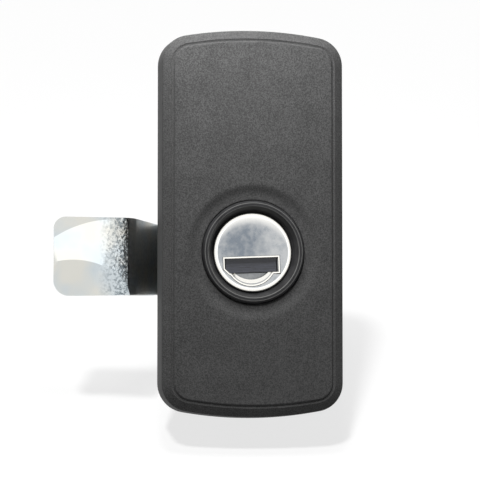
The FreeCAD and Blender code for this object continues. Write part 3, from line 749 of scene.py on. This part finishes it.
# Studio: two sheets of white paper, one a little above the other, that slope up behind the lock.
# A near soft lamp above the plate and a far one from the upper left make light and shadow, and
# a white card in front of the lock is what the bright metal mirrors.
SHEET_SLOPE = 30.0
SHEET_Z = -49.8
SHEET_SIZE = 1200.0
STEP_X = -27.5
STEP_DROP = 11.0
STEP_RUN = 0.3
PAPER_GLOW = 0.73
SOFTBOX_PLACE = (-0.015, -0.06, 0.105)
SOFTBOX_AIM = (0, 0, 0.03)
SOFTBOX_WATTS = 0.21
SOFTBOX_SIZE = 0.06
SHADOW_DIRECTION = (0.33, 0.913, -1.0)
SHADOW_LAMP = 2.4
SHADOW_SOFTNESS = 6.0
ROOM_LIGHT = 1.05
FRONT_LOW = 0.05
FRONT_END = -0.3
BACK_HIGH = 1.0
BACK_START = 0.5
CARD_WAY = Vector((0.148, -0.987, 0.061)).normalized()
CARD_EDGE = 0.965
CARD_SOFT = 0.015
CARD_LIGHT = 1.55


def seen_directly(tree):
    """One for rays from the camera and in reflections and glass."""
    path = add_node(tree, "LightPath").outputs
    seen = add_node(tree, "Math", {0: path["Is Camera Ray"], 1: path["Is Glossy Ray"]},
                    operation="MAXIMUM").outputs[0]
    return add_node(tree, "Math", {0: seen, 1: path["Is Transmission Ray"]},
                    operation="MAXIMUM").outputs[0]


def white_paper():
    # Coated white card stock: matt, and greyer to bounced light so that it doesn't fill shadows.
    material = bpy.data.materials.new("white_paper_sheet")
    material.use_nodes = True
    tree = material.node_tree
    tree.nodes.clear()
    bounce = add_node(tree, "LightPath").outputs["Is Diffuse Ray"]
    colour = add_node(tree, "Mix", {"Factor": bounce, 6: linear("#f4f4f4"), 7: linear("#8a8a8a")},
                      data_type="RGBA")
    paper = add_node(tree, "BsdfDiffuse", {"Color": colour.outputs[2]}).outputs[0]
    glow = add_node(tree, "Emission", {"Color": (1, 1, 1, 1), "Strength": 1.0}).outputs[0]
    share = add_node(tree, "Math", {0: seen_directly(tree), 1: PAPER_GLOW}, operation="MULTIPLY")
    front = add_node(tree, "MixShader", {0: share.outputs[0], 1: paper, 2: glow}).outputs[0]
    behind = add_node(tree, "NewGeometry").outputs["Backfacing"]
    clear = add_node(tree, "BsdfTransparent").outputs[0]
    sheet = add_node(tree, "MixShader", {0: behind, 1: front, 2: clear})
    add_node(tree, "OutputMaterial", {"Surface": sheet.outputs[0]})
    return material


def make_sheet():
    mesh = bmesh.new()
    for left, right, z in ((-SHEET_SIZE, STEP_X, SHEET_Z - STEP_DROP),
                           (STEP_X, SHEET_SIZE, SHEET_Z)):
        carry_straight(mesh, mesh.verts.new(at(left, 0, z)), at(right, 0, z), 0)
    swept = bmesh.ops.extrude_edge_only(mesh, edges=mesh.edges[:])["geom"]
    reach = at(STEP_RUN, 1, 0) * SHEET_SIZE
    bmesh.ops.translate(mesh, verts=mesh.verts, vec=-reach)
    bmesh.ops.translate(mesh, verts=verts_of(swept), vec=2 * reach)
    for vert in mesh.verts:
        vert.co.z += vert.co.y * math.tan(math.radians(SHEET_SLOPE))
    for face in mesh.faces:
        face.normal_update()
        if face.normal.z < 0:
            face.normal_flip()
    data = bpy.data.meshes.new("paper_sheet")
    mesh.to_mesh(data)
    mesh.free()
    data.shade_smooth()
    data.materials.append(white_paper())
    sheet = bpy.data.objects.new("paper_sheet", data)
    bpy.context.scene.collection.objects.link(sheet)


def hang_lamp(name, kind, place, aim, energy, **settings):
    data = bpy.data.lights.new(name, kind)
    data.energy = energy
    for key, value in settings.items():
        setattr(data, key, value)
    lamp = bpy.data.objects.new(name, data)
    lamp.location = place
    lamp.rotation_euler = (Vector(aim) - Vector(place)).to_track_quat("-Z", "Y").to_euler()
    lamp.visible_glossy = False
    bpy.context.scene.collection.objects.link(lamp)


def light_room():
    """A pale room with a white card in front. Matt faces get little light from the front."""
    world = bpy.data.worlds.new("pale_room")
    bpy.context.scene.world = world
    world.use_nodes = True
    tree = world.node_tree
    tree.nodes.clear()
    way = add_node(tree, "TexCoord").outputs["Generated"]
    path = add_node(tree, "LightPath").outputs
    depth = add_node(tree, "SeparateXYZ", {"Vector": way}).outputs["Y"]
    matt = steps_of(tree, depth, FRONT_END, BACK_START, FRONT_LOW, BACK_HIGH)
    ahead = add_node(tree, "VectorMath", {0: way, 1: CARD_WAY}, operation="DOT_PRODUCT")
    gloss = steps_of(tree, ahead.outputs["Value"], CARD_EDGE, CARD_EDGE + CARD_SOFT,
                     ROOM_LIGHT, CARD_LIGHT)
    light = add_node(tree, "Mix", {0: path["Is Diffuse Ray"], 2: gloss, 3: matt}).outputs[0]
    room = add_node(tree, "Background", {"Color": (1, 1, 1, 1), "Strength": light}).outputs[0]
    white = add_node(tree, "Background", {"Color": (1, 1, 1, 1), "Strength": 1.0}).outputs[0]
    shown = add_node(tree, "MixShader", {0: path["Is Camera Ray"], 1: room, 2: white})
    add_node(tree, "OutputWorld", {"Surface": shown.outputs[0]})


make_sheet()
light_room()
hang_lamp("top_softbox", "AREA", SOFTBOX_PLACE, SOFTBOX_AIM, SOFTBOX_WATTS, shape="SQUARE",
          size=SOFTBOX_SIZE)
hang_lamp("shadow_lamp", "SUN", (0, 0, 0), SHADOW_DIRECTION, SHADOW_LAMP,
          angle=math.radians(SHADOW_SOFTNESS))


# Camera: a long lens a little to the left of the plate and a little below it, so that the
# left wall shows as a narrow strip. The key cylinder stands right of and below the middle.
PIXELS = 480
PIXELS_PER_MM = 3.91
CYLINDER_PIXEL = (253.8, 251.9)
CAMERA_TURN = -8.5
CAMERA_LIFT = -3.5
LENS = 180.0
SENSOR = 36.0


def place_camera():
    turn, lift = math.radians(CAMERA_TURN), math.radians(CAMERA_LIFT)
    back = Vector((math.sin(turn) * math.cos(lift), -math.cos(turn) * math.cos(lift),
                   math.sin(lift)))
    right = Vector((math.cos(turn), math.sin(turn), 0))
    up = back.cross(right)
    shown = PIXELS / PIXELS_PER_MM
    across = (PIXELS / 2 - CYLINDER_PIXEL[0]) / PIXELS_PER_MM
    along = (CYLINDER_PIXEL[1] - PIXELS / 2) / PIXELS_PER_MM
    aim = at(0, PANEL_Y, 0) + (right * across + up * along) * MM
    data = bpy.data.cameras.new("camera")
    data.lens, data.sensor_width, data.clip_start = LENS, SENSOR, 0.01
    camera = bpy.data.objects.new("camera", data)
    camera.matrix_world = Matrix.Translation(aim + back * shown * LENS / SENSOR * MM) @ Matrix(
        (right, up, back)).transposed().to_4x4()
    bpy.context.scene.collection.objects.link(camera)
    bpy.context.scene.camera = camera


place_camera()
bpy.context.scene.view_settings.view_transform = "Standard"
